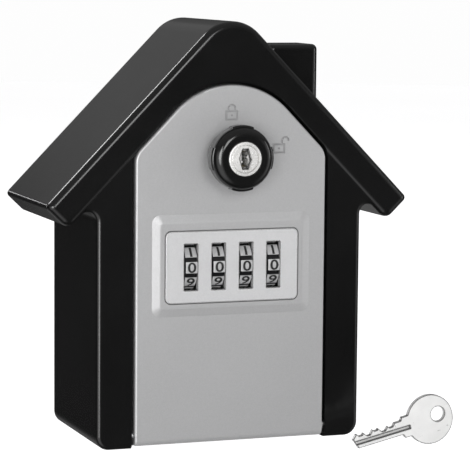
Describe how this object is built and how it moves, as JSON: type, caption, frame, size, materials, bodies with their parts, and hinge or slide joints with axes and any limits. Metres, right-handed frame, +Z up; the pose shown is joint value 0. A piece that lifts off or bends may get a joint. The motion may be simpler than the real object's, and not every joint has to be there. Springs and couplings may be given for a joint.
{
  "type": "key lock box",
  "caption": "House-shaped wall-mounted key lock box with a drop-down front door, number-wheel combination, round turn knob and an override key.",
  "frame": {"origin": "centre of the four wall-screw holes, on the back face that sits against the wall", "axes": "+Z up, +Y into the wall (the front faces -Y), +X to the right as seen from the front"},
  "size_m": [0.1446, 0.0778, 0.1508],
  "materials": {
    "case_black": "semi-gloss moulded black",
    "plate_black": "powder-coated steel, satin",
    "steel_screws": "zinc-plated steel",
    "gasket_rubber": "matte black rubber",
    "strike_steel": "brushed steel",
    "door_silver": "matte metallic silver paint on die-cast metal",
    "bezel_silver": "satin silver",
    "mechanism_nylon": "dark engineering plastic",
    "cage_metal": "die-cast metal, as cast",
    "spring_steel": "spring steel",
    "wheel_silver": "silver plastic with dark digits",
    "disc_brass": "stamped brass",
    "knob_black": "glossy black",
    "lock_chrome": "satin nickel plate",
    "wafer_brass": "stamped brass",
    "key_nickel": "nickel-plated brass"
  },
  "bodies": {
    "case": {"case_shell": "case_black", "back_plate": "plate_black", "back_plate_screws": "steel_screws", "door_gasket": "gasket_rubber", "hinge_pins": "steel_screws", "strike_plate": "strike_steel", "strike_screws": "steel_screws"},
    "door": {"door_panel": "door_silver", "dial_bezel": "bezel_silver", "stud_push_nuts": "spring_steel", "knob_bushing": "mechanism_nylon", "wheel_cage": "cage_metal", "wheel_shaft": "steel_screws", "shaft_clips": "spring_steel", "detent_springs": "spring_steel", "bar_springs": "spring_steel", "inner_cover": "mechanism_nylon", "cover_screws": "steel_screws"},
    "knob": {"knob_shell": "knob_black", "lock_barrel": "lock_chrome", "blocking_collar": "cage_metal", "collar_pin": "spring_steel"},
    "plug": {"lock_plug": "lock_chrome", "plug_wafers": "wafer_brass", "latch_tongue": "strike_steel", "tongue_nut": "steel_screws"},
    "wheel_1": {"dial_wheel_1": "wheel_silver", "code_disc_1": "disc_brass"},
    "wheel_2": {"dial_wheel_2": "wheel_silver", "code_disc_2": "disc_brass"},
    "wheel_3": {"dial_wheel_3": "wheel_silver", "code_disc_3": "disc_brass"},
    "wheel_4": {"dial_wheel_4": "wheel_silver", "code_disc_4": "disc_brass"},
    "bar": {"locking_bar": "strike_steel"},
    "slider": {"reset_slider": "bezel_silver"},
    "key": {"override_key": "key_nickel"}
  },
  "joints": [
    {"name": "door_swing", "type": "hinge", "parent": "case", "child": "door", "pos_m": [0, -0.0512, -0.0566], "axis": [1, 0, 0], "range_deg": [0, 95]},
    {"name": "knob_turn", "type": "hinge", "parent": "door", "child": "knob", "pos_m": [0, -0.055, 0.0423], "axis": [0, -1, 0], "range_deg": [0, 90]},
    {"name": "plug_turn", "type": "hinge", "parent": "knob", "child": "plug", "pos_m": [0, -0.055, 0.0423], "axis": [0, -1, 0], "range_deg": [0, 90]},
    {"name": "wheel_1_spin", "type": "hinge", "parent": "door", "child": "wheel_1", "pos_m": [-0.01553, -0.0481, 0.0033], "axis": [1, 0, 0], "continuous": true},
    {"name": "wheel_2_spin", "type": "hinge", "parent": "door", "child": "wheel_2", "pos_m": [-0.00517, -0.0481, 0.0033], "axis": [1, 0, 0], "continuous": true},
    {"name": "wheel_3_spin", "type": "hinge", "parent": "door", "child": "wheel_3", "pos_m": [0.00517, -0.0481, 0.0033], "axis": [1, 0, 0], "continuous": true},
    {"name": "wheel_4_spin", "type": "hinge", "parent": "door", "child": "wheel_4", "pos_m": [0.01553, -0.0481, 0.0033], "axis": [1, 0, 0], "continuous": true},
    {"name": "bar_lift", "type": "slide", "parent": "door", "child": "bar", "axis": [0, 0, 1], "range_m": [0, 0.002], "deforming": ["bar_springs"]},
    {"name": "slider_shift", "type": "slide", "parent": "door", "child": "slider", "axis": [1, 0, 0], "range_m": [0, 0.006]},
    {"name": "key_lift", "type": "slide", "parent": "case", "child": "key", "axis": [0, 0, 1], "range_m": [0, 0.05]}
  ]
}
